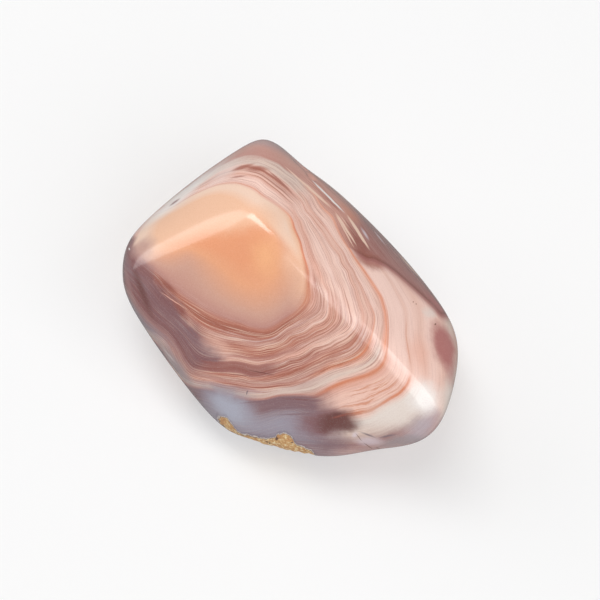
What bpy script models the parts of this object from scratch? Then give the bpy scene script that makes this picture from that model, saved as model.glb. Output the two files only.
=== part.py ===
"""A tumbled botswana agate: one polished pebble, about 33 mm long, lying on the flattest of its worn sides.

Frame: +X along the pebble's length, +Z up, origin under the middle of its outline, on the surface it lies on.
"""

import math

import bmesh
import bpy
import numpy as np

MM = 0.001

# Every worn side of the pebble: the compass bearing it faces, from +X towards +Y, and its rise above the
# horizon, both in degrees, and its distance in millimetres from the pebble's middle.
SIDES = {
    "long_face": (-74, 42, 7.9),
    "right_flank": (55, 53, 9.4),
    "left_flank": (-178, 54, 13.2),
    "far_end": (122, 32, 18.4),
    "far_shoulder": (92, 30, 14.2),
    "far_side": (76, 25, 10.7),
    "right_cheek": (52, 10, 17.7),
    "right_end": (26, -6, 17.1),
    "right_foot": (-1, -14, 19.3),
    "near_corner": (-42, -24, 15.9),
    "near_side": (-72, -21, 13.5),
    "left_side": (-107, -11, 12.5),
    "left_end": (-143, 4, 16.6),
    "left_shoulder": (-166, 16, 19.2),
    "left_cheek": (169, 30, 15.2),
    "under_far": (110, -18, 15.6),
    "under_far_right": (50, -30, 14.6),
    "under_right": (5, -42, 15.8),
    "under_near": (-60, -52, 12.6),
    "under_near_left": (-120, -42, 12.2),
    "under_left": (-175, -32, 15.0),
    "under_far_left": (150, -22, 15.4),
    "underside": (0, -90, 8.0),
}

# Every side is a shallow dome of this radius, and the edges between sides are worn round: a larger edge wear
# is a softer edge. Both are in millimetres.
DOME_RADIUS = 90
EDGE_WEAR = 0.69

# Shallow hollows that the tumbling did not reach: centre from the middle, width and depth, in millimetres.
HOLLOWS = {
    "left_cheek_hollow": ((-14.0, -0.2, 4.4), 2.6, 0.3),
    "far_side_hollow": ((5.7, 8.5, 2.4), 2.6, 0.3),
    "near_corner_hollow": ((13.3, -5.4, -3.2), 2.4, 0.6),
    "far_shoulder_chip": ((-6.5, 11.3, 2.4), 1.5, 0.5),
}

# Where the middle stands, in millimetres, with the pebble's worn foot on z = 0.
MIDDLE = (-0.88, -0.85, 7.4)

# The mesh starts as a cube with this many strips along each edge. No point lies further out than the reach,
# in millimetres, and each halving of that length brings the surface nearer by a factor of two.
STRIPS = 28
REACH = 30
HALVINGS = 40

AGATE_COLOUR = (0.62, 0.36, 0.28, 1.0)
POLISH_ROUGHNESS = 0.12


def facing(bearing, rise):
    """The unit vector at a compass bearing and a rise, in degrees."""
    turn, tilt = math.radians(bearing), math.radians(rise)
    return math.cos(turn) * math.cos(tilt), math.sin(turn) * math.cos(tilt), math.sin(tilt)


NORMALS = np.array([facing(bearing, rise) for bearing, rise, _ in SIDES.values()])
DISTANCES = np.array([distance for _, _, distance in SIDES.values()])


def height_over_surface(points):
    """How far the points lie outside the worn surface, in millimetres: a smooth maximum over the sides."""
    over_sides = points @ NORMALS.T - DISTANCES
    highest = over_sides.max(axis=1)
    blend = np.exp((over_sides - highest[:, None]) / EDGE_WEAR).sum(axis=1)
    height = highest + EDGE_WEAR * np.log(blend) + (points**2).sum(axis=1) / (2 * DOME_RADIUS)
    for centre, width, depth in HOLLOWS.values():
        away = ((points - np.array(centre)) ** 2).sum(axis=1)
        height += depth * np.exp(-away / (2 * width**2))
    return height


def worn_surface(directions):
    """The surface point along each direction from the middle, found by halving the stretch it lies in."""
    inner = np.zeros(len(directions))
    outer = np.full(len(directions), float(REACH))
    for _ in range(HALVINGS):
        halfway = (inner + outer) / 2
        outside = height_over_surface(directions * halfway[:, None]) > 0
        inner = np.where(outside, inner, halfway)
        outer = np.where(outside, halfway, outer)
    return directions * inner[:, None]


def pebble_mesh():
    """A cube in strips, swelled to a ball and worn to the sides, then cut flat where it rests."""
    bm = bmesh.new()
    bmesh.ops.create_cube(bm, size=2.0)
    bmesh.ops.subdivide_edges(bm, edges=bm.edges[:], cuts=STRIPS - 1, use_grid_fill=True)
    cube = np.array([vertex.co for vertex in bm.verts])
    ball = np.tan(cube * math.pi / 4)
    ball /= np.linalg.norm(ball, axis=1)[:, None]
    places = (worn_surface(ball) + np.array(MIDDLE)) * MM
    for vertex, place in zip(bm.verts, places):
        vertex.co = place
    everything = bm.verts[:] + bm.edges[:] + bm.faces[:]
    bmesh.ops.bisect_plane(bm, geom=everything, plane_co=(0, 0, 0), plane_no=(0, 0, -1), clear_outer=True)
    bmesh.ops.holes_fill(bm, edges=[edge for edge in bm.edges if edge.is_boundary])
    bmesh.ops.recalc_face_normals(bm, faces=bm.faces[:])
    mesh = bpy.data.meshes.new("agate_pebble")
    bm.to_mesh(mesh)
    bm.free()
    mesh.shade_smooth()
    return mesh


def polished_agate():
    material = bpy.data.materials.new("polished_agate")
    material.use_nodes = True
    shader = material.node_tree.nodes["Principled BSDF"]
    shader.inputs["Base Color"].default_value = AGATE_COLOUR
    shader.inputs["Roughness"].default_value = POLISH_ROUGHNESS
    shader.inputs["Metallic"].default_value = 0.0
    return material


def main():
    for leftover in list(bpy.data.objects):
        bpy.data.objects.remove(leftover)
    pebble = bpy.data.objects.new("agate_pebble", pebble_mesh())
    pebble.data.materials.append(polished_agate())
    bpy.context.scene.collection.objects.link(pebble)


main()
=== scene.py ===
"""A tumbled botswana agate on a pale floor: a polished pebble with bands, stains, rind and scratches."""

import math

import bpy
import numpy as np
from mathutils import Matrix, Vector, noise


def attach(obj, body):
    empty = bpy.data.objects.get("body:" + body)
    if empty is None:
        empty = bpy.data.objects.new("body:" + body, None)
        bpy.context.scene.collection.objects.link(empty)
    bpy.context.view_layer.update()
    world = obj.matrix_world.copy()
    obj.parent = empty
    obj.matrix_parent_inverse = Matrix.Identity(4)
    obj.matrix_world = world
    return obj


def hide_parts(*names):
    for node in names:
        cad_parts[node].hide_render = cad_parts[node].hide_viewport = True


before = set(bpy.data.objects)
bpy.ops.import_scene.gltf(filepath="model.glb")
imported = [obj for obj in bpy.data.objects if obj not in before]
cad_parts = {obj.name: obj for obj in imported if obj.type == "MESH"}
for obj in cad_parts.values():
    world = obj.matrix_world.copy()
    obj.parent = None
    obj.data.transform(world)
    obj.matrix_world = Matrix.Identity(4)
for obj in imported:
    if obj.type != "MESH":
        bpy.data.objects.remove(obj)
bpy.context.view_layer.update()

# The camera looks down on the pebble from in front and to its right, with a long lens, so that the pebble
# keeps its true outline. Angles are in degrees, and photo places are pixels of a 600 by 600 picture.
MM = 0.001
CAMERA_BEARING = 37
CAMERA_TILT = 28
CAMERA_DISTANCE = 295.5 * MM
LENS = 200
SENSOR = 36
NEAREST = 10 * MM
# The pebble's middle in millimetres, its place on the photo, and the photo's pixels to the millimetre.
MIDDLE = np.array((-0.88, -0.85, 7.4))
PHOTO_MIDDLE = (291, 308)
PHOTO_SCALE = 11.28
PHOTO_CENTRE = (300, 300)

camera_turn = Matrix.Rotation(math.radians(CAMERA_BEARING), 3, "Z")
camera_turn = camera_turn @ Matrix.Rotation(math.radians(CAMERA_TILT), 3, "X")
# The photo's axes in the pebble's own frame: to the right, up, and out towards the eye.
VIEW_AXES = np.array(camera_turn).T
sideways = (PHOTO_CENTRE[0] - PHOTO_MIDDLE[0]) / PHOTO_SCALE
upwards = (PHOTO_MIDDLE[1] - PHOTO_CENTRE[1]) / PHOTO_SCALE
aim = (MIDDLE + sideways * VIEW_AXES[0] + upwards * VIEW_AXES[1]) * MM
bpy.ops.object.select_all(action="DESELECT")
bpy.ops.object.camera_add(
    location=aim + VIEW_AXES[2] * CAMERA_DISTANCE,
    rotation=(math.radians(CAMERA_TILT), 0, math.radians(CAMERA_BEARING)),
)
camera = bpy.context.object
camera.data.lens = LENS
camera.data.sensor_width = SENSOR
camera.data.clip_start = NEAREST
bpy.context.scene.camera = camera
bpy.context.scene.view_settings.view_transform = "Standard"

# The light is a white studio: a pale sky all round, one broad soft box over the left shoulder and one over
# the right, which draw the pale streaks along the pebble's two upper edges, and a slim bright one on top.
WHITE = (1.0, 1.0, 1.0, 1.0)
SKY_STRENGTH = 0.25
LIGHT_DISTANCE = 600 * MM
# Each box: its bearing and height in degrees, its width and depth in degrees, its turn, and its radiance.
SOFT_BOXES = {
    "left_soft_box": (-171, 24, 48, 42, -6, 1.5),
    "right_soft_box": (-20, 43, 60, 42, 0, 2.0),
    "slim_soft_box": (166, 72, 20, 52, 0, 4.8),
}

world = bpy.data.worlds.new("studio")
world.use_nodes = True
sky = world.node_tree.nodes["Background"]
sky.inputs["Color"].default_value = WHITE
sky.inputs["Strength"].default_value = SKY_STRENGTH
bpy.context.scene.world = world
for name, (bearing, height, wide, deep, turn, radiance) in SOFT_BOXES.items():
    bpy.ops.object.select_all(action="DESELECT")
    bpy.ops.object.light_add(type="AREA")
    box = bpy.context.object
    box.name = name
    box.data.shape = "RECTANGLE"
    box.data.size = 2 * LIGHT_DISTANCE * math.tan(math.radians(wide / 2))
    box.data.size_y = 2 * LIGHT_DISTANCE * math.tan(math.radians(deep / 2))
    box.data.energy = radiance * math.pi * box.data.size * box.data.size_y
    box_turn = Matrix.Rotation(math.radians(bearing + 90), 4, "Z")
    box_turn = box_turn @ Matrix.Rotation(math.radians(90 - height), 4, "X")
    box_turn = box_turn @ Matrix.Rotation(math.radians(turn), 4, "Z")
    box_turn = Matrix.Translation(MIDDLE * MM) @ box_turn
    box.matrix_world = box_turn @ Matrix.Translation((0, 0, LIGHT_DISTANCE))

# The floor is one sheet of matt white card under the pebble, large enough to fill every view. It glows a
# little, so that it stays pale in the soft light, and the polish does not mirror it.
FLOOR_SIDE = 3000 * MM
CARD_WHITE = (0.52, 0.52, 0.52, 1.0)
CARD_GLOW = 0.40
CARD_ROUGHNESS = 0.9
CARD_SHEEN = 0.1

bpy.ops.object.select_all(action="DESELECT")
bpy.ops.mesh.primitive_plane_add(size=FLOOR_SIDE)
floor = bpy.context.object
floor.name = "floor"
card = bpy.data.materials.new("matt_white_card")
card.use_nodes = True
card_shader = card.node_tree.nodes["Principled BSDF"]
card_shader.inputs["Base Color"].default_value = CARD_WHITE
card_shader.inputs["Roughness"].default_value = CARD_ROUGHNESS
card_shader.inputs["Specular IOR Level"].default_value = CARD_SHEEN
card_shader.inputs["Emission Color"].default_value = WHITE
card_shader.inputs["Emission Strength"].default_value = CARD_GLOW
floor.data.materials.append(card)
floor.visible_glossy = False

# The agate pebble is one piece of banded chalcedony, broken from a nodule, tumbled until its corners were
# round, and polished all over. It is not fixed to anything and rests on a small worn flat.

# Its sides are those of the solid model: the bearing and the rise that each faces, in degrees, and its
# distance from the middle, in millimetres.
SIDES = {
    "long_face": (-74, 42, 7.9),
    "right_flank": (55, 53, 9.4),
    "left_flank": (-178, 54, 13.2),
    "far_end": (122, 32, 18.4),
    "far_shoulder": (92, 30, 14.2),
    "far_side": (76, 25, 10.7),
    "right_cheek": (52, 10, 17.7),
    "right_end": (26, -6, 17.1),
    "right_foot": (-1, -14, 19.3),
    "near_corner": (-42, -24, 15.9),
    "near_side": (-72, -21, 13.5),
    "left_side": (-107, -11, 12.5),
    "left_end": (-143, 4, 16.6),
    "left_shoulder": (-166, 16, 19.2),
    "left_cheek": (169, 30, 15.2),
    "under_far": (110, -18, 15.6),
    "under_far_right": (50, -30, 14.6),
    "under_right": (5, -42, 15.8),
    "under_near": (-60, -52, 12.6),
    "under_near_left": (-120, -42, 12.2),
    "under_left": (-175, -32, 15.0),
    "under_far_left": (150, -22, 15.4),
    "underside": (0, -90, 8.0),
}
# Every side is a shallow dome of this radius, and a larger edge wear is a softer edge. Both are in
# millimetres.
DOME_RADIUS = 90
EDGE_WEAR = 0.69
# Shallow hollows: centre from the middle, width and depth, in millimetres.
HOLLOWS = {
    "left_cheek_hollow": ((-14.0, -0.2, 4.4), 2.6, 0.3),
    "far_side_hollow": ((5.7, 8.5, 2.4), 2.6, 0.3),
    "near_corner_hollow": ((13.3, -5.4, -3.2), 2.4, 0.6),
    "far_shoulder_chip": ((-6.5, 11.3, 2.4), 1.5, 0.5),
}
# No point lies further out than the reach, in millimetres, and each halving brings the surface nearer.
REACH = 30
HALVINGS = 30
# Each side of the starting cube is cut into 10 strips, and each of those into 11.
CUTS = (9, 10)
# A direction that dips less than this never meets the floor.
LEAST_DIP = 0.01


def facing(bearing, rise):
    """The unit vector at a compass bearing and a rise, in degrees."""
    turn, tilt = math.radians(bearing), math.radians(rise)
    return math.cos(turn) * math.cos(tilt), math.sin(turn) * math.cos(tilt), math.sin(tilt)


NORMALS = np.array([facing(bearing, rise) for bearing, rise, _ in SIDES.values()])
DISTANCES = np.array([distance for _, _, distance in SIDES.values()])


def height_over_surface(points):
    """How far the points lie outside the worn surface, in millimetres from the pebble's middle."""
    over_sides = points @ NORMALS.T - DISTANCES
    highest = over_sides.max(axis=1)
    rounded = np.exp((over_sides - highest[:, None]) / EDGE_WEAR).sum(axis=1)
    height = highest + EDGE_WEAR * np.log(rounded) + (points**2).sum(axis=1) / (2 * DOME_RADIUS)
    for centre, width, depth in HOLLOWS.values():
        away = ((points - np.array(centre)) ** 2).sum(axis=1)
        height += depth * np.exp(-away / (2 * width**2))
    return height


def way_out(starts, directions, nearest, furthest):
    """How far each point goes along its direction before it leaves the pebble, by halving."""
    inner = np.full(len(starts), float(nearest))
    outer = np.full(len(starts), float(furthest))
    for _ in range(HALVINGS):
        halfway = (inner + outer) / 2
        outside = height_over_surface(starts + directions * halfway[:, None]) > 0
        inner = np.where(outside, inner, halfway)
        outer = np.where(outside, halfway, outer)
    return inner


bpy.ops.object.select_all(action="DESELECT")
bpy.ops.mesh.primitive_cube_add(size=2)
pebble = bpy.context.object
pebble.name = "polished_pebble"
bpy.ops.object.mode_set(mode="EDIT")
bpy.ops.mesh.select_all(action="SELECT")
for cuts in CUTS:
    bpy.ops.mesh.subdivide(number_cuts=cuts)
bpy.ops.object.mode_set(mode="OBJECT")
mesh = pebble.data
mesh.uv_layers.remove(mesh.uv_layers[0])
cube = np.empty(len(mesh.vertices) * 3)
mesh.vertices.foreach_get("co", cube)
ball = np.tan(cube.reshape(-1, 3) * math.pi / 4)
ball /= np.linalg.norm(ball, axis=1)[:, None]
reach = way_out(np.zeros_like(ball), ball, 0, REACH)
to_floor = np.where(ball[:, 2] < -LEAST_DIP, MIDDLE[2] / np.maximum(-ball[:, 2], LEAST_DIP), REACH)
worn = ball * np.minimum(reach, to_floor)[:, None]

# The bands: each line follows one layer of the agate round its core, as points on the photo. The number is
# how far out the layer lies, counted in millimetres from the dark rim of the peach core.
LAYER_LINES = {
    "peach_rim": (0.0, [
        (309, 286), (308, 300), (302, 309), (290, 318), (277, 327), (268, 331), (257, 331), (243, 327),
        (229, 323), (214, 318), (201, 311), (190, 304), (178, 296), (167, 286), (157, 275), (147, 267),
        (137, 258), (131, 248), (135, 236), (144, 223), (154, 214), (169, 208), (182, 201), (204, 190),
        (215, 186), (227, 184), (236, 184), (247, 187), (254, 190), (263, 197), (274, 204), (281, 209),
        (290, 218), (294, 229), (300, 243), (305, 262), (308, 274),
    ]),
    "white_thread": (1.5, [
        (240, 178), (258, 182), (275, 195), (288, 206), (295, 213), (301, 222), (307, 238), (312, 254),
        (318, 267), (322, 283), (326, 291), (327, 302), (326, 314), (313, 323), (290, 335), (268, 346),
        (262, 348), (246, 347), (229, 345), (212, 340), (198, 333),
    ]),
    "salmon_edge": (2.1, [
        (327, 277), (331, 291), (333, 302), (333, 312), (331, 321), (324, 328), (307, 337), (290, 346),
        (274, 352), (262, 354), (246, 353),
    ]),
    "fine_threads": (3.6, [
        (352, 323), (335, 337), (313, 347), (290, 358), (279, 363), (268, 366), (246, 366), (235, 364),
        (352, 318), (350, 309), (346, 295), (339, 277), (332, 264), (326, 249), (319, 237), (312, 227),
        (303, 214), (292, 198), (279, 186), (267, 177), (253, 171), (242, 169), (231, 171), (210, 180),
        (193, 188), (177, 197), (167, 204),
    ]),
    "brown_edge": (4.3, [
        (357, 333), (346, 346), (335, 351), (318, 359), (302, 367), (290, 372), (274, 376), (262, 378),
        (251, 378), (235, 375), (218, 373), (203, 371), (193, 368), (361, 323), (361, 312), (358, 302),
        (354, 289), (347, 271), (339, 256),
    ]),
    "thin_orange": (5.2, [
        (350, 266), (356, 277), (361, 286), (365, 295), (368, 303), (372, 312), (373, 318), (372, 325),
        (369, 337), (364, 348), (357, 355), (344, 361), (329, 366), (312, 374), (301, 379), (290, 383),
        (268, 386), (257, 386), (246, 385), (235, 383), (224, 382), (213, 380),
    ]),
    "orange_wall": (6.6, [
        (195, 183), (213, 169), (231, 159), (249, 154), (262, 156), (280, 164), (298, 177), (316, 194),
        (334, 216), (345, 241), (353, 254), (363, 268), (370, 278), (381, 295), (386, 316), (386, 337),
        (384, 353), (377, 366), (362, 374), (343, 380), (328, 387), (314, 394), (300, 394), (280, 395),
        (262, 399), (245, 399), (230, 396), (213, 390),
    ]),
    "outer_orange": (8.4, [
        (404, 312), (404, 334), (407, 356), (408, 371), (405, 381), (399, 389), (390, 395), (379, 402),
        (368, 408), (357, 410), (346, 412), (335, 414), (325, 415), (302, 412), (290, 409), (395, 292),
        (383, 272), (365, 248), (345, 214), (325, 192), (309, 177), (290, 163), (270, 152),
    ]),
    "core_middle": (-4.0, [(245, 262)]),
    "core_left": (-3.3, [(225, 262)]),
    "core_right": (-3.7, [(262, 262)]),
    "core_edge": (-2.0, [(190, 255)]),
    "right_end": (13.0, [(455, 345)]),
    "right_rim": (11.0, [(430, 300)]),
    "near_corner": (12.0, [(415, 440)]),
    "rind_low": (11.5, [(320, 455)]),
    "rind_high": (10.0, [(240, 440)]),
    "grey_edge": (7.4, [(200, 395)]),
    "left_edge": (6.0, [(165, 345)]),
    "left_end": (4.5, [(128, 290)]),
    "left_mauve": (4.6, [(150, 320)]),
}
# The plate is let off the traced points a little, so that it bends smoothly. Points that fall together are
# taken to be a hair apart, and the mesh is worked through in batches to spare memory.
PLATE_STIFFNESS = 0.02
LEAST_APART = 1e-12
BATCH = 10000
# Under the upper surface the layers curve outwards: one layer at this depth, four at twice the depth.
DEPTH_PER_LAYER = 12
# Depth is measured towards the eye from this skin on, and less than the overhang counts as none.
SKIN = 0.02
OVERHANG = 0.05


def on_photo(x, y):
    """A photo pixel as millimetres to the right of the middle and above it."""
    return (x - PHOTO_MIDDLE[0]) / PHOTO_SCALE, (PHOTO_MIDDLE[1] - y) / PHOTO_SCALE


def plate_bend(first, second):
    """The thin plate's bend at each of the first points from a push at each of the second ones."""
    apart = ((first[:, None] - second[None]) ** 2).sum(axis=-1)
    return 0.5 * apart * np.log(np.maximum(apart, LEAST_APART))


traced = np.array([on_photo(*point) for _, points in LAYER_LINES.values() for point in points])
levels = np.array([level for level, points in LAYER_LINES.values() for _ in points])
flat = np.column_stack((np.ones(len(traced)), traced))
system = np.zeros((len(traced) + 3, len(traced) + 3))
system[: len(traced), : len(traced)] = plate_bend(traced, traced) + PLATE_STIFFNESS * np.eye(len(traced))
system[: len(traced), len(traced) :] = flat
system[len(traced) :, : len(traced)] = flat.T
pushes = np.linalg.solve(system, np.concatenate((levels, np.zeros(3))))


def layer_at(places):
    """How far out the layer at each place lies: a thin plate bent through the traced lines."""
    layers = np.empty(len(places))
    for start in range(0, len(places), BATCH):
        some = places[start : start + BATCH]
        bent = plate_bend(some, traced) @ pushes[: len(traced)]
        layers[start : start + BATCH] = bent + pushes[len(traced)] + some @ pushes[len(traced) + 1 :]
    return layers


seen = worn @ VIEW_AXES.T
outwards = np.tile(VIEW_AXES[2], (len(worn), 1))
buried = way_out(worn, outwards, SKIN, 2 * REACH)
buried = np.where(buried < OVERHANG, 0, buried)
seen_from_above = buried == 0
layers = layer_at(seen[:, :2]) + (buried / DEPTH_PER_LAYER) ** 2


def remember(name, values):
    """Keep one number for each point of the mesh, for the material to read."""
    attribute = mesh.attributes.new(name, "FLOAT", "POINT")
    attribute.data.foreach_set("value", values.astype(np.float32))


def below_line(points, beside=None):
    """How far below a line traced on the photo each point lies, in millimetres, from -1 to 1."""
    line = np.array([on_photo(*point) for point in points])
    height = np.interp(seen[:, 0], line[:, 0], line[:, 1], left=beside, right=beside)
    return np.clip(height - seen[:, 1], -1, 1)


remember("strata", layers)
# When the nearest point is looked for, the hidden ones are put this far off, in square millimetres.
HIDDEN = 1000


def on_stone(x, y):
    """A photo pixel as a place on the pebble's upper surface, in millimetres from the middle."""
    right, up = on_photo(x, y)
    apart = (seen[:, 0] - right) ** 2 + (seen[:, 1] - up) ** 2 + np.where(seen_from_above, 0, HIDDEN)
    return right, up, seen[apart.argmin(), 2]


# Small nicks in the far edge, where the polish did not reach.
# Each row: photo x and y, and width and depth in millimetres.
NICKS = {
    "chip": (299, 162, 0.5, 0.22),
    "chip_tail": (304, 167, 0.3, 0.2),
    "notch": (311, 176, 0.32, 0.35),
}
for x, y, width, depth in NICKS.values():
    away = np.linalg.norm(seen - on_stone(x, y), axis=1)
    nicked = depth * np.exp(-(away**2) / (2 * width**2))
    worn *= 1 - (nicked / np.linalg.norm(worn, axis=1))[:, None]

# The brown wall of the nodule shows at the upper right, above this line.
WALL_FOOT = [
    (350, 249), (357, 254), (366, 259), (374, 260), (386, 266), (397, 274), (405, 281), (413, 288),
    (423, 297), (433, 306), (441, 315),
]
remember("wall", -below_line(WALL_FOOT))

# A strip of the nodule's ochre rind is left along the lower edge, below this line. The rind is pitted, so
# the mesh sinks there. The strip reaches these distances from its middle, in millimetres.
RIND_EDGE = [
    (216, 411), (219, 416), (227, 417), (232, 424), (238, 432), (244, 434), (254, 436), (266, 438),
    (275, 437), (278, 433), (286, 432), (292, 436), (295, 443), (303, 446), (312, 450), (318, 459),
]
RIND_MIDDLE = (268, 437)
RIND_REACH = (5.6, 3.0, 3.6)
# How steeply the patch ends at its reach, how deep its pits are, how wide, and how steeply they begin.
RIND_FADE = 2.5
PIT_DEPTH = 0.3
PIT_SIZE = 0.55
PIT_SLOPE = 4
from_middle = np.linalg.norm((seen - on_stone(*RIND_MIDDLE)) / RIND_REACH, axis=1)
inside_rind = np.minimum(below_line(RIND_EDGE, beside=-REACH), RIND_FADE * (1 - from_middle)).clip(-1, 1)
remember("rind", inside_rind)
for i in np.nonzero(inside_rind > 0)[0]:
    pitting = 0.5 + 0.5 * noise.noise(Vector(worn[i] / PIT_SIZE))
    pitting *= PIT_DEPTH * min(1, inside_rind[i] * PIT_SLOPE)
    worn[i] *= 1 - pitting / np.linalg.norm(worn[i])

# The last polish takes the pebble just inside the solid model's outline, and it still stands on the floor.
POLISH_LOSS = 0.997
worn *= POLISH_LOSS
worn[:, 2] -= worn[:, 2].min() + MIDDLE[2]
mesh.vertices.foreach_set("co", ((worn + MIDDLE) * MM).ravel())
mesh.shade_smooth()
mesh.update()


class Wire:
    """A node's output. Sums with wires add Math nodes, and the node method adds any other node."""

    tree = None

    def __init__(self, socket):
        self.socket = socket

    @classmethod
    def node(cls, kind, settings=None, sockets=None, output=0):
        """Add a node, set its settings and then its sockets, and hand back one of its outputs."""
        node = cls.tree.nodes.new(kind)
        for name, value in (settings or {}).items():
            if name == "stops":
                set_stops(node.color_ramp, value)
            else:
                setattr(node, name, value)
        for name, value in (sockets or {}).items():
            if isinstance(value, Wire):
                cls.tree.links.new(value.socket, node.inputs[name])
            else:
                node.inputs[name].default_value = value
        return Wire(node.outputs[output])

    @classmethod
    def sum(cls, operation, first, second):
        """A Math node on two wires or numbers."""
        return cls.node("ShaderNodeMath", {"operation": operation}, {0: first, 1: second})

    def __add__(self, other):
        return self.sum("ADD", self, other)

    def __radd__(self, other):
        return self.sum("ADD", self, other)

    def __sub__(self, other):
        return self.sum("SUBTRACT", self, other)

    def __rsub__(self, other):
        return self.sum("SUBTRACT", other, self)

    def __mul__(self, other):
        return self.sum("MULTIPLY", self, other)

    def __rmul__(self, other):
        return self.sum("MULTIPLY", self, other)

    def __truediv__(self, other):
        return self.sum("DIVIDE", self, other)

    def __rtruediv__(self, other):
        return self.sum("DIVIDE", other, self)


def tint(colour):
    """A colour given as six hex digits, as a screen shows it, in the linear light that a shader takes."""
    shares = [int(colour[i : i + 2], 16) / 255 for i in (0, 2, 4)]
    return [s / 12.92 if s <= 0.04045 else ((s + 0.055) / 1.055) ** 2.4 for s in shares] + [1.0]


def set_stops(ramp, stops):
    """Give a colour ramp its stops: pairs of a place from 0 to 1 and a colour."""
    while len(ramp.elements) > 1:
        ramp.elements.remove(ramp.elements[0])
    for i, (place, colour) in enumerate(stops):
        element = ramp.elements[0] if i == 0 else ramp.elements.new(place)
        element.position = place
        element.color = colour


def blend(share, under, over):
    """One colour over another, by a share from 0 to 1."""
    return Wire.node("ShaderNodeMix", {"data_type": "RGBA"}, {0: share, 6: under, 7: over}, output=2)


def ease(value, start, end):
    """0 below start, 1 above end and smooth between; the other way round where start is above end."""
    low, high = min(start, end), max(start, end)
    rising = (0.0, 1.0) if start < end else (1.0, 0.0)
    return Wire.node(
        "ShaderNodeMapRange",
        {"interpolation_type": "SMOOTHSTEP"},
        {0: value, 1: low, 2: high, 3: rising[0], 4: rising[1]},
    )


polish = bpy.data.materials.new("polished_agate")
polish.use_nodes = True
Wire.tree = polish.node_tree
stone = polish.node_tree.nodes["Principled BSDF"]

# Places on the stone are read in millimetres from its middle, along the photo's axes.
here = Wire.node("ShaderNodeTexCoord", output="Object")
place = Wire.node(
    "ShaderNodeMapping",
    {"vector_type": "TEXTURE"},
    {
        "Vector": here,
        "Location": MIDDLE * MM,
        "Rotation": (math.radians(CAMERA_TILT), 0, math.radians(CAMERA_BEARING)),
        "Scale": (MM, MM, MM),
    },
)
across = Wire.node("ShaderNodeSeparateXYZ", None, {0: place}, output=0)
above = Wire.node("ShaderNodeSeparateXYZ", None, {0: place}, output=1)
layer = Wire.node("ShaderNodeAttribute", {"attribute_name": "strata"}, output="Fac")
rind = Wire.node("ShaderNodeAttribute", {"attribute_name": "rind"}, output="Fac")
wall = Wire.node("ShaderNodeAttribute", {"attribute_name": "wall"}, output="Fac")

# The stone's pigments: iron reds and oranges in pale chalcedony, with manganese greys towards the rind.
PIGMENTS = {
    "deep_peach": "f0a379", "peach": "f0ab83", "glow": "fcbb89", "warm_tan": "d6a592", "tan": "c69c90",
    "pale_peach": "f8c6a5", "cream": "f8d6c0", "grey_cream": "e2cbbf", "frost": "f4e6e1",
    "ivory": "efe2d9", "white": "fdf8f4", "orange": "d88a68", "vivid_orange": "dc825c",
    "rust": "c07c68", "brick": "a56150", "salmon": "cb8e7a", "rose": "c69287", "dusty_rose": "d3a294",
    "blush": "ecb6a4", "pale_blush": "f6cbbb", "shell_pink": "ffdacd", "bright_orange": "f3a282",
    "chestnut": "95554a", "dark_brown": "6b3f3b", "red_brown": "98605a", "mauve": "86686e",
    # The rim grey is a painted reflection of the white surroundings on the grazing rims.
    "red_mauve": "84585a", "dusk": "a57f7d", "grey_mauve": "94868f", "rim_sheen_grey": "a39597",
    "lavender": "a19ba8", "blue_grey": "b4b7c6", "old_pink": "c8a5a1", "lilac": "e0d0d6",
    "wall_rose": "d49d8e", "wall_brown": "ab7770", "wall_foot": "7c4239", "patch_red": "b5706c",
    "ochre": "d6a564", "tan_rind": "c08556", "pale_ochre": "f2e0b4", "umber": "6d4d38",
    "smoke": "6f6670",
}

# The order of the layers on each worn side, from the core outwards: a layer's place and its pigment.
LAYER_SPAN = (-4.5, 15.5)
LONG_FACE_LAYERS = [
    (-4.0, "deep_peach"), (-2.8, "peach"), (-1.2, "warm_tan"), (-0.4, "rose"), (-0.1, "rust"),
    (0.25, "brick"), (0.6, "rust"), (0.85, "rose"), (1.5, "salmon"), (2.1, "rust"), (2.5, "rose"),
    (3.3, "blush"), (3.6, "dusty_rose"), (3.8, "brick"), (4.0, "rose"), (4.3, "rust"), (4.6, "tan"),
    (5.0, "rose"), (5.2, "salmon"), (5.6, "old_pink"), (6.1, "grey_cream"), (6.45, "rose"),
    (6.7, "mauve"), (7.7, "mauve"), (8.1, "grey_mauve"), (9.3, "lavender"), (10.5, "grey_mauve"),
    (13.0, "dusk"), (15.0, "tan"),
]
NEAR_CORNER_LAYERS = [
    (-4.0, "deep_peach"), (-0.6, "pale_peach"), (-0.1, "orange"), (0.3, "blush"), (0.9, "dusty_rose"),
    (1.4, "pale_blush"), (1.6, "blush"), (2.1, "salmon"), (2.4, "blush"), (2.8, "dusty_rose"),
    (3.3, "pale_blush"), (3.7, "pale_blush"), (4.3, "rust"), (4.7, "dusty_rose"), (5.2, "orange"),
    (5.5, "blush"), (6.0, "grey_cream"), (6.4, "pale_blush"), (6.6, "orange"), (6.9, "blush"),
    (7.3, "pale_blush"), (8.25, "pale_blush"), (8.4, "orange"), (8.6, "pale_blush"), (9.0, "ivory"),
    (9.8, "grey_cream"), (10.6, "dusk"), (11.3, "old_pink"), (13.0, "old_pink"), (15.0, "dusk"),
]
# The right flank's layers: partly their own tint, partly painted light, paler all over as the lit side.
LIT_RIGHT_FLANK_LAYERS = [
    (-4.0, "pale_peach"), (-1.0, "cream"), (-0.3, "pale_peach"), (0.0, "bright_orange"),
    (0.3, "pale_blush"), (0.9, "blush"), (1.4, "blush"), (1.7, "pale_blush"), (2.8, "shell_pink"),
    (3.4, "pale_blush"), (4.0, "shell_pink"), (4.3, "blush"), (4.7, "pale_blush"), (5.05, "blush"),
    (5.3, "shell_pink"), (6.0, "pale_blush"), (6.4, "bright_orange"), (6.65, "shell_pink"),
    (8.1, "shell_pink"), (8.45, "pale_blush"), (8.8, "shell_pink"), (9.7, "pale_blush"),
    (10.4, "shell_pink"), (11.5, "pale_blush"), (12.5, "grey_cream"), (13.5, "dusty_rose"),
    (15.0, "dusk"),
]
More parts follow.
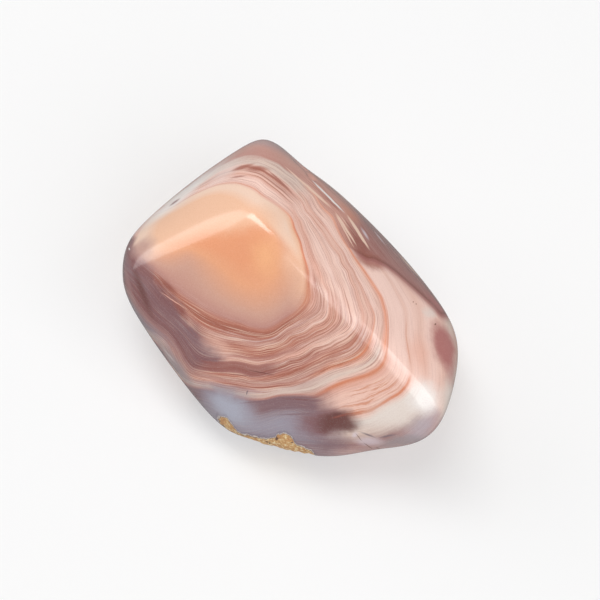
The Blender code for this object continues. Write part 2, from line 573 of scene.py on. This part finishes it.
TOP_LAYERS = [
    (-4.5, "pale_peach"), (-3.4, "pale_peach"), (-1.6, "cream"), (-0.5, "cream"), (0.0, "blush"),
    (0.5, "shell_pink"), (1.4, "shell_pink"), (2.3, "blush"), (2.8, "pale_blush"), (3.5, "dusty_rose"),
    (3.8, "blush"), (4.4, "pale_blush"), (4.7, "grey_cream"), (6.1, "grey_cream"), (6.5, "rose"),
    (8.5, "dusty_rose"), (10.0, "old_pink"), (12.0, "old_pink"), (15.0, "dusk"),
]
# The left end's outer layers turn grey at the rim: a painted reflection of the white surroundings.
LEFT_END_LAYERS = [
    (-4.0, "warm_tan"), (-1.2, "tan"), (-0.4, "dusk"), (0.4, "red_mauve"), (2.0, "mauve"),
    (4.0, "red_mauve"), (4.6, "dusk"), (5.4, "grey_mauve"), (6.2, "rim_sheen_grey"), (8.0, "rim_sheen_grey"),
    (15.0, "dusk"),
]


def pigment(name):
    """A pigment's colour in linear light."""
    return tint(PIGMENTS[name])


def layered(stops, position):
    """A colour ramp over the layers, from stops of a layer's place and its pigment."""
    start, end = LAYER_SPAN
    return Wire.node(
        "ShaderNodeValToRGB",
        {"stops": [((at - start) / (end - start), pigment(name)) for at, name in stops]},
        {0: (position - start) / (end - start)},
    )


def clouds(vector, scale, detail=2.0, roughness=0.5, output=0):
    """Soft noise about 0.5, with this many clouds to the millimetre."""
    sockets = {"Vector": vector, "Scale": scale, "Detail": detail, "Roughness": roughness}
    return Wire.node("ShaderNodeTexNoise", None, sockets, output)


def scaled(vector, factor):
    """A vector times a number."""
    return Wire.node("ShaderNodeVectorMath", {"operation": "SCALE"}, {0: vector, "Scale": factor})


def moved(vector, offset):
    """A vector plus another."""
    return Wire.node("ShaderNodeVectorMath", {"operation": "ADD"}, {0: vector, 1: offset})


def stirred(scale, reach):
    """The places moved about by soft clouds, so that a stain's edge wanders."""
    return moved(place, scaled(moved(clouds(place, scale, 3.0, 0.6, output=1), (-0.5, -0.5, -0.5)), reach))


def streaks(position, per_layer, per_millimetre):
    """A place for noise to be read at, so that it runs in threads along the layers."""
    run_across = across * per_millimetre
    run_above = above * per_millimetre
    return Wire.node("ShaderNodeCombineXYZ", None, {0: position * per_layer, 1: run_across, 2: run_above})


# The layers waver a little, and their threads change slowly along their length.
WAVER = 0.15
THREADS_PER_LAYER = 8
FINE_THREADS_PER_LAYER = 22
fine_layer = layer + (clouds(place, 0.9, 3.0) - 0.5) * WAVER
threads = clouds(streaks(fine_layer, THREADS_PER_LAYER, 0.25), 1.0, 4.0, 0.68)
fine_threads = clouds(streaks(layer, FINE_THREADS_PER_LAYER, 0.3), 1.0, 1.0)
wavy = stirred(0.45, 1.6)
ragged = stirred(1.2, 0.10)
wavy_across = Wire.node("ShaderNodeSeparateXYZ", None, {0: wavy}, output=0)
wavy_above = Wire.node("ShaderNodeSeparateXYZ", None, {0: wavy}, output=1)


def along(vector, direction):
    """How far a vector goes along a direction."""
    sockets = {0: vector, 1: direction}
    return Wire.node("ShaderNodeVectorMath", {"operation": "DOT_PRODUCT"}, sockets, output="Value")


def spot(x, y, length, width, turn=0, soft=0.6, vector=None, depth=3.0):
    """A soft-edged oval on the pebble's skin: 1 inside and 0 outside, centred on a photo pixel."""
    right, up, out = on_stone(x, y)
    offset = moved(vector or place, (-right, -up, -out))
    cosine, sine = math.cos(math.radians(turn)), math.sin(math.radians(turn))
    lengthways = along(offset, (2 * cosine / length, 2 * sine / length, 0))
    widthways = along(offset, (-2 * sine / width, 2 * cosine / width, 0))
    inwards = along(offset, (0, 0, 1 / depth))
    inside = Wire.node("ShaderNodeCombineXYZ", None, {0: lengthways, 1: widthways, 2: inwards})
    away = Wire.node("ShaderNodeVectorMath", {"operation": "LENGTH"}, {0: inside}, output="Value")
    return ease(away, 1.0, 1.0 - soft)


# A stroke goes this far into the stone, in millimetres.
STROKE_DEPTH = 1.6


def stroke(x, y, end_x, end_y, width, soft=0.5):
    """A thin spindle from one photo pixel to another."""
    right, up = end_x - x, y - end_y
    length = math.hypot(right, up) / PHOTO_SCALE
    turn = math.degrees(math.atan2(up, right))
    return spot((x + end_x) / 2, (y + end_y) / 2, length, width, turn, soft, ragged, STROKE_DEPTH)


def band(start, end, soft=0.15):
    """1 in the layers from start to end and 0 outside them."""
    return ease(fine_layer, start - soft, start + soft) * ease(fine_layer, end + soft, end - soft)


# The polished sides show the layers in different tints, and the right flank's layers are also painted
# lighter, as the lit side. The left end is stained. The two ridges are straight lines on the photo: the
# height at its middle, in millimetres, and the climb to the right.
LEFT_RIDGE = (9.35, 0.365)
RIGHT_RIDGE = (5.05, -1.09)
past_left_ridge = above - across * LEFT_RIDGE[1] - LEFT_RIDGE[0]
past_right_ridge = above - across * RIGHT_RIDGE[1] - RIGHT_RIDGE[0]
upper_share = 1 - (1 - ease(past_right_ridge, -0.5, 0.7)) * (1 - ease(past_left_ridge, -1.2, 0.9))
top_share = ease(wavy_above - wavy_across * 0.9, 7.0, 11.0)
corner_share = ease(wavy_across + wavy_above * 0.25, -0.5, 2.5)
# The left end's stain begins at a crease through this place, and runs along the left rim.
CREASE_PLACE = (-11.8, 2.75)
CREASE_DIRECTION = (0.785, 0.621)
RIM_DIRECTION = (0.93, 0.36)
crease_across = (wavy_across - CREASE_PLACE[0]) * CREASE_DIRECTION[0]
crease = crease_across + (wavy_above - CREASE_PLACE[1]) * CREASE_DIRECTION[1]
left_rim = wavy_across * RIM_DIRECTION[0] + wavy_above * RIM_DIRECTION[1]
left_share = 1 - (1 - ease(crease, 0.8, -0.6)) * (1 - ease(left_rim, -10.2, -11.0))
left_share = left_share * ease(fine_layer + wavy_across * 0.4, 2.0, 0.2)
wall_share = ease(wall, -0.1, 0.15) * ease(fine_layer, 6.2, 6.5) * ease(wavy_across, 0.2, 2.4)
long_face = layered(LONG_FACE_LAYERS, fine_layer)
near_corner = layered(NEAR_CORNER_LAYERS, fine_layer)
right_flank = layered(LIT_RIGHT_FLANK_LAYERS, fine_layer)
colour = blend(corner_share, long_face, near_corner)
upper = blend(top_share, right_flank, layered(TOP_LAYERS, fine_layer))
colour = blend(upper_share, colour, upper)
colour = blend(left_share, colour, layered(LEFT_END_LAYERS, fine_layer))
wall_tint = blend(ease(wavy_across, 4.6, 6.8), pigment("wall_rose"), pigment("wall_brown"))
colour = blend(wall_share, colour, wall_tint)

# Fine threads run in the banded part, dark and pale, and stay faint outside it.
# Each row: the noise, where in it a thread begins and is full, its share and its pigment.
FINE_THREADS = {
    "dark": (threads, 0.50, 0.34, 0.7, "brick"),
    "pale": (threads, 0.52, 0.72, 0.35, "frost"),
    "fine_dark": (fine_threads, 0.48, 0.36, 0.6, "brick"),
    "fine_pale": (fine_threads, 0.54, 0.66, 0.55, "cream"),
}
banded = ease(fine_layer, 6.9, 5.6) * 0.75 + 0.25
lined = ease(layer, -0.9, 0.6) * banded * (1 - left_share * 0.7) * (1 - upper_share * 0.4)
for pattern, start, end, share, name in FINE_THREADS.values():
    colour = blend(ease(pattern, start, end) * lined * share, colour, pigment(name))
corner_threads = ease(threads, 0.52, 0.36) * band(6.7, 8.7) * spot(370, 396, 8.0, 4.4, 28, 0.6)
colour = blend(corner_threads * 0.7, colour, pigment("orange"))
colour = blend(ease(threads, 0.48, 0.34) * wall_share * 0.45, colour, pigment("chestnut"))

# Some layers are stained in one stretch only, which an oval holds, its sizes in millimetres and degrees.
# Each row: photo x and y, length, width, turn, softness, first layer, last layer, pigment and share.
STAINED_LAYERS = {
    "red_band": (240, 366, 9.6, 5.0, -4, 0.5, 3.15, 4.1, "red_brown", 0.8),
    "wall_dark_end": (357, 244, 5.0, 2.6, -60, 0.8, 6.5, 9.0, "chestnut", 0.75),
    "deep_patch": (322, 420, 7.6, 4.0, 8, 0.7, 7.8, 20.0, "red_mauve", 0.85),
    "deep_patch_heart": (338, 420, 5.4, 3.0, 2, 0.7, 8.1, 20.0, "dark_brown", 0.9),
    "dark_lines": (282, 402, 8.6, 2.2, 3, 0.8, 6.6, 8.6, "mauve", 0.6),
    "grey_low_left": (224, 396, 8.6, 4.4, -8, 0.8, 5.3, 20.0, "grey_mauve", 0.8),
    "pale_band": (310, 380, 13.0, 5.0, 14, 0.6, 5.45, 6.25, "grey_cream", 0.5),
}
# Washes of pigment over whole stretches, and along some rims a painted reflection and a painted highlight.
# Each row: photo x and y, length, width, turn, softness, pigment and share.
WASHES = {
    "core_glow": (266, 258, 4.2, 5.2, 10, 1.0, "glow", 0.8),
    "core_upper": (246, 222, 10.0, 3.4, 8, 0.9, "pale_peach", 0.8),
    "core_paler_right": (290, 258, 2.4, 6.0, 0, 1.0, "pale_peach", 0.5),
    # Painted reflection: these two whiten the top-left rim, as the white surroundings mirror in the
    # polish.
    "top_left_rim_reflection": (182, 193, 14.0, 5.0, 38, 0.8, "white", 0.8),
    "top_rim_reflection": (225, 172, 6.0, 2.4, 30, 0.9, "frost", 0.5),
    "tan_left_end": (145, 248, 3.4, 3.8, 0, 0.9, "tan", 0.9),
    "lower_blue": (230, 408, 7.6, 4.4, -22, 0.9, "blue_grey", 0.85),
    "lower_lavender": (282, 427, 7.0, 3.0, -5, 0.9, "lavender", 0.6),
    "ivory_corner": (394, 412, 9.0, 4.2, 25, 0.8, "ivory", 0.9),
    # Partly the corner's own white agate, partly a painted highlight where the right soft box shines on
    # the corner.
    "white_agate_and_highlight": (422, 396, 4.4, 4.4, 50, 0.8, "white", 0.8),
    "corner_fade": (446, 396, 3.0, 6.4, -15, 0.9, "ivory", 0.8),
    "flank_glow": (416, 352, 3.4, 6.0, 0, 0.9, "bright_orange", 0.3),
    "right_rim_rose": (437, 305, 4.4, 2.4, -55, 0.8, "patch_red", 0.75),
    "right_mauve_tail": (448, 372, 2.4, 4.0, 0, 0.9, "patch_red", 0.5),
    "right_mauve": (443, 345, 4.2, 7.0, 2, 0.6, "patch_red", 0.95),
    "right_pink": (428, 312, 2.0, 2.6, -40, 0.8, "ivory", 0.6),
    # Painted reflection: the near rim is greyed, as the white floor mirrors in it at a grazing angle.
    "near_rim": (402, 439, 7.4, 1.7, 12, 0.8, "rim_sheen_grey", 0.85),
    "near_rim_left": (332, 442, 5.0, 1.8, 0, 0.9, "mauve", 0.7),
    "top_mauve": (262, 152, 6.0, 2.0, 0, 0.8, "rose", 0.5),
    "top_right_pink": (292, 160, 5.0, 2.2, -38, 0.8, "dusty_rose", 0.5),
    "orange_brown": (350, 212, 4.0, 1.4, -50, 0.8, "orange", 0.45),
    "red_tip": (370, 261, 4.6, 2.2, -20, 0.7, "brick", 0.8),
    "crease_wash": (166, 302, 5.8, 2.8, -38, 0.9, "red_mauve", 0.6),
    "pale_rose_left": (217, 346, 4.2, 2.8, -30, 0.9, "pale_blush", 0.4),
    # Painted reflection: the lower-right rim is cooled to blue-grey, as the white surroundings mirror in
    # it.
    "corner_cool": (420, 424, 5.0, 2.8, 40, 0.9, "blue_grey", 0.5),
}
for x, y, length, width, turn, soft, first, last, name, share in STAINED_LAYERS.values():
    stain = spot(x, y, length, width, turn, soft, wavy) * band(first, last) * share
    colour = blend(stain, colour, pigment(name))
for x, y, length, width, turn, soft, name, share in WASHES.values():
    colour = blend(spot(x, y, length, width, turn, soft, wavy) * share, colour, pigment(name))

# The wall's foot is a dark line with a red edge under it.
wall_line = ease(wall, -0.3, -0.05) * ease(wall, 0.5, 0.1) * ease(across, 5.0, 6.4)
colour = blend(wall_line * 0.6, colour, pigment("wall_foot"))
wall_glow = ease(wall, -0.7, -0.1) * ease(wall, 0.2, -0.05) * ease(across, 5.0, 6.4)
colour = blend(wall_glow * 0.5, colour, pigment("patch_red"))

# Single threads stand out. Each row: photo x and y, length, width and turn of the stretch, the layer, half
# the thread's width in millimetres, pigment and share.
THREADS = {
    "core_rim": (298, 244, 8.0, 5.0, -65, 0.05, 0.08, "vivid_orange", 0.6),
    "core_rim_top": (250, 190, 8.0, 3.0, 0, 0.0, 0.07, "vivid_orange", 0.35),
    "top_brown": (262, 178, 10.0, 4.4, -25, 4.0, 0.18, "brick", 0.9),
    "top_brown_middle": (262, 182, 9.0, 4.0, -28, 3.1, 0.12, "brick", 0.75),
    "top_brown_low": (266, 188, 8.0, 3.4, -32, 2.4, 0.09, "brick", 0.65),
    "white_thread": (308, 318, 8.0, 5.0, 50, 1.5, 0.05, "frost", 0.25),
    "brown_thread": (258, 384, 10.0, 3.0, 0, 5.2, 0.05, "chestnut", 0.7),
    "thin_orange": (362, 330, 9.0, 4.0, 80, 5.2, 0.06, "vivid_orange", 0.55),
    "wall_edge": (382, 330, 10.0, 4.0, 84, 6.6, 0.07, "vivid_orange", 0.6),
    "wall_edge_low": (345, 383, 8.0, 4.0, 20, 6.6, 0.11, "vivid_orange", 0.5),
    "outer_thread": (392, 392, 6.0, 3.0, 40, 8.4, 0.08, "vivid_orange", 0.6),
    "outer_thread_high": (404, 340, 6.0, 3.0, 85, 8.4, 0.05, "orange", 0.5),
}
for x, y, length, width, turn, level, half, name, share in THREADS.values():
    thread = ease(layer, level - 2 * half, level) * ease(layer, level + 2 * half, level)
    colour = blend(spot(x, y, length, width, turn, 0.6) * thread * share, colour, pigment(name))

# Needles, streaks, dashes and cracks, and along the rims a painted highlight and painted reflections.
# Each row: photo x and y of both ends, width, softness, pigment and share.
STROKES = {
    "needle_1": (281, 164, 335, 213, 0.20, 0.4, "cream", 0.8),
    "needle_1_end": (332, 208, 358, 250, 0.22, 0.4, "cream", 0.85),
    "needle_2": (301, 181, 333, 210, 0.16, 0.4, "cream", 0.7),
    "needle_2_end": (331, 207, 356, 254, 0.17, 0.4, "cream", 0.75),
    "needle_3": (308, 177, 347, 216, 0.20, 0.4, "white", 0.9),
    "needle_3_end": (343, 209, 371, 254, 0.32, 0.4, "cream", 0.95),
    "needle_4": (338, 214, 357, 239, 0.11, 0.4, "cream", 0.6),
    "needle_shade": (318, 190, 346, 218, 0.30, 0.8, "chestnut", 0.5),
    "needle_shade_end": (340, 212, 362, 250, 0.34, 0.8, "chestnut", 0.6),
    "lilac_dash": (359, 225, 370, 243, 0.34, 0.9, "lilac", 0.9),
    "lilac_rim": (371, 226, 388, 248, 0.22, 0.8, "lilac", 0.7),
    "rim_dark": (374, 226, 424, 274, 0.16, 0.8, "dark_brown", 0.6),
    # Painted highlight: a cream glint along the right rim, where a light mirrors in the edge.
    "painted_rim_highlight": (394, 246, 427, 284, 0.50, 0.9, "cream", 0.8),
    "top_lens": (226, 173, 260, 164, 0.50, 0.7, "brick", 0.8),
    "top_lens_middle": (238, 168, 276, 172, 0.80, 0.8, "brick", 0.8),
    "top_lens_end": (264, 168, 292, 193, 0.24, 0.8, "brick", 0.8),
    "top_lens_small": (227, 180, 250, 177, 0.26, 0.7, "brick", 0.6),
    "top_dash": (167, 207, 182, 197, 0.32, 0.8, "red_mauve", 0.75),
    "top_dash_pale": (170, 202, 183, 193, 0.14, 0.7, "white", 0.8),
    "left_streak": (130, 254, 158, 328, 1.00, 0.9, "dark_brown", 0.75),
    "left_rim_pale": (123, 258, 137, 310, 0.70, 0.9, "dusk", 0.7),
    "crease_dark": (156, 274, 184, 299, 0.90, 0.9, "chestnut", 0.8),
    "crease_dark_end": (172, 294, 192, 324, 0.90, 0.9, "chestnut", 0.7),
    "crease_pale": (158, 289, 194, 313, 0.14, 0.7, "blush", 0.8),
    # Painted reflection: the grey band along the lower-left rim, where the white floor mirrors at a
    # grazing angle.
    "grey_edge": (146, 328, 204, 398, 2.00, 0.8, "rim_sheen_grey", 0.85),
    "grey_edge_line": (148, 334, 194, 390, 0.16, 0.8, "smoke", 0.6),
    "grey_edge_pale": (160, 343, 180, 366, 0.24, 0.9, "frost", 0.35),
    "speck_left": (129, 247, 131, 251, 0.20, 0.7, "white", 0.9),
    "red_band_line": (240, 367, 282, 375, 0.16, 0.8, "dark_brown", 0.6),
    "red_band_line_low": (222, 372, 262, 376, 0.12, 0.8, "dark_brown", 0.5),
    "tick": (247, 394, 249, 388, 0.12, 0.6, "smoke", 0.9),
    "dark_line_1": (228, 403, 292, 397, 0.24, 0.9, "mauve", 0.8),
    "dark_line_2": (270, 396, 330, 399, 0.30, 0.9, "red_mauve", 0.8),
    "dark_line_3": (246, 408, 330, 404, 0.26, 0.9, "mauve", 0.8),
    "dark_line_4": (262, 414, 336, 410, 0.30, 0.9, "mauve", 0.7),
    "patch_top": (326, 417, 353, 410, 0.30, 0.8, "chestnut", 0.8),
    "fold_fill": (348, 439, 388, 439, 1.20, 0.8, "lilac", 0.7),
    "fold_peak": (350, 436, 358, 429, 0.70, 0.9, "lilac", 0.75),
    "fold_shade": (357, 429, 377, 436, 0.26, 0.9, "smoke", 0.75),
    "fold_shade_end": (374, 436, 397, 431, 0.28, 0.9, "smoke", 0.65),
    "crack_1": (354, 430, 362, 440, 0.10, 0.6, "umber", 0.7),
    "crack_2": (361, 439, 374, 449, 0.10, 0.6, "umber", 0.7),
    "crack_mark": (374, 445, 380, 447, 0.14, 0.6, "umber", 0.6),
    "scratch_1": (368, 383, 385, 372, 0.08, 0.6, "cream", 0.7),
    "scratch_2": (372, 390, 389, 376, 0.08, 0.6, "cream", 0.7),
    "edge_streak_1": (436, 425, 447, 405, 0.16, 0.8, "grey_mauve", 0.6),
    "edge_streak_2": (441, 426, 451, 408, 0.14, 0.8, "grey_mauve", 0.6),
    "black_dot": (433, 325, 435, 323, 0.18, 0.6, "umber", 0.9),
    "red_dot_1": (411, 302, 413, 302, 0.16, 0.6, "brick", 0.8),
    "red_dot_2": (414, 304, 416, 304, 0.14, 0.6, "brick", 0.8),
}
for x, y, end_x, end_y, width, soft, name, share in STROKES.values():
    colour = blend(stroke(x, y, end_x, end_y, width, soft) * share, colour, pigment(name))

# The rind is an ochre crust with pale crumbs and dark pits, dull beside the polish, with rims round it.
# Each row: where a rim begins and is full, with minus for outside the rind, its share and its pigment.
RIND_RIMS = {
    "shade": (-0.42, -0.10, 0.35, "smoke"),
    "pale_rim": (-0.13, -0.06, 0.7, "ivory"),
    "dark_rim": (-0.05, 0.0, 0.8, "umber"),
}
grit = clouds(place, 3.0, 4.0, 0.65)
pits = clouds(place, 2.0, 1.0)
rind_edge = rind + (clouds(place, 2.6, 3.0, 0.6) - 0.5) * 0.5
crust = blend(ease(grit, 0.49, 0.66), pigment("ochre"), pigment("pale_ochre"))
crust = blend(ease(grit, 0.52, 0.40) * 0.8, crust, pigment("tan_rind"))
crust = blend(ease(pits, 0.33, 0.28), crust, pigment("umber"))
for start, end, share, name in RIND_RIMS.values():
    colour = blend(ease(rind_edge, start, end) * share, colour, pigment(name))
rind_share = ease(rind_edge, 0.01, 0.07)
colour = blend(rind_share, colour, crust)

# The stone has fine grain, a little darker and paler at random.
grain = clouds(place, 9.0, 2.0, 0.7)
colour = blend(ease(grain, 0.55, 0.25) * 0.09, colour, pigment("chestnut"))
colour = blend(ease(grain, 0.50, 0.80) * 0.08, colour, pigment("white"))

# The polish is high, and a little uneven. The rind is dull and gritty.
POLISH_ROUGHNESS = 0.13
POLISH_UNEVEN = 0.05
RIND_ROUGHNESS = 0.45
GRIT_HEIGHT = 0.15 * MM
GRIT_STRENGTH = 0.6
CHALCEDONY_IOR = 1.54
POLISH_SHINE = 0.75
roughness = POLISH_ROUGHNESS + clouds(place, 0.6, 3.0) * POLISH_UNEVEN + rind_share * RIND_ROUGHNESS
gritty = {"Strength": GRIT_STRENGTH, "Distance": GRIT_HEIGHT, "Height": grit * rind_share}
relief = Wire.node("ShaderNodeBump", None, gritty)
for name, wire in {"Base Color": colour, "Roughness": roughness, "Normal": relief}.items():
    polish.node_tree.links.new(wire.socket, stone.inputs[name])
stone.inputs["IOR"].default_value = CHALCEDONY_IOR
stone.inputs["Specular IOR Level"].default_value = POLISH_SHINE
mesh.materials.append(polish)

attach(pebble, "root")
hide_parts("agate_pebble")
